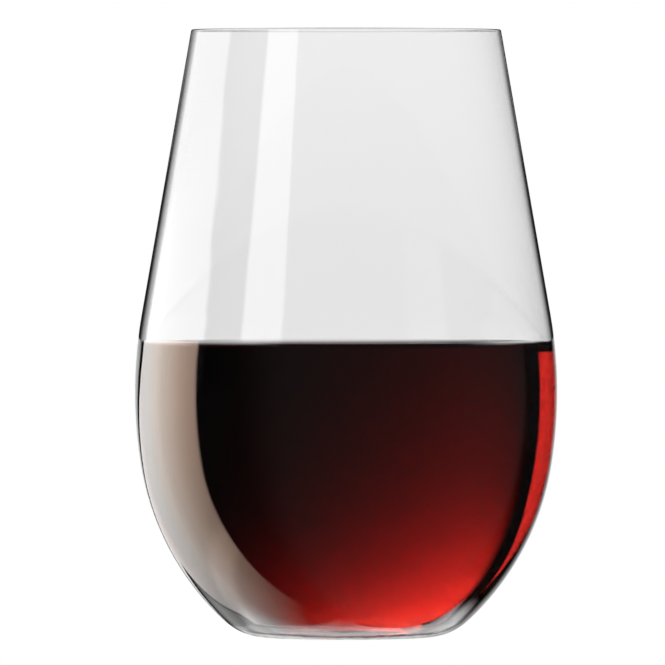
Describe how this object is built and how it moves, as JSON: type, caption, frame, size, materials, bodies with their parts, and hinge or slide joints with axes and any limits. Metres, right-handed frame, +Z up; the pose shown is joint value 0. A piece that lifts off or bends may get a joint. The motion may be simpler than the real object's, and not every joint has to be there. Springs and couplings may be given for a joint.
{
  "type": "stemless wine glass",
  "caption": "Clear stemless wine glass with a round tapered bowl and a thickened base, filled to just above its widest part with red wine that is free to swirl.",
  "frame": {"origin": "on the axis of the glass, on the plane of the ring that it rests on", "axes": "+Z up along the axis of the glass; X and Y are free, because the glass and the wine are bodies of revolution"},
  "size_m": [0.0862, 0.0862, 0.124],
  "materials": {
    "clear_glass": "polished",
    "red_wine": "gloss"
  },
  "bodies": {
    "glass": {"glass_bowl": "clear_glass"},
    "wine": {"red_wine": "red_wine"}
  },
  "joints": [
    {"name": "wine_swirl", "type": "hinge", "parent": "glass", "child": "wine", "pos_m": [0, 0, 0.03], "axis": [0, 0, 1], "continuous": true}
  ]
}
